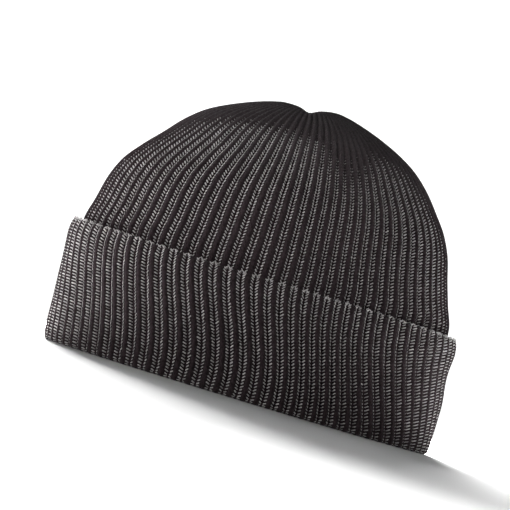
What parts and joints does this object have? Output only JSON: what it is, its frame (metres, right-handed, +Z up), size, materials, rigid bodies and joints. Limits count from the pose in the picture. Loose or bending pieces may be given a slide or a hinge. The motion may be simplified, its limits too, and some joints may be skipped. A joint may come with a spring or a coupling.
{
  "type": "knitted beanie",
  "caption": "Rib-knit fisherman beanie with a rounded dome, a gathered top and a wide turned-up cuff, standing on its folded rim.",
  "frame": {"origin": "on the floor under the middle of the hat, in the plane of the folded rim", "axes": "+Z up from the rim to the crown, +X to the right of the hat seen from the front, the front at -Y and the seam at the back, towards +Y"},
  "size_m": [0.1926, 0.1378, 0.1406],
  "materials": {
    "rib_knit": "two-tone knitted rib, matt"
  },
  "bodies": {
    "root": {"crown": "rib_knit", "cuff": "rib_knit"}
  },
  "joints": []
}
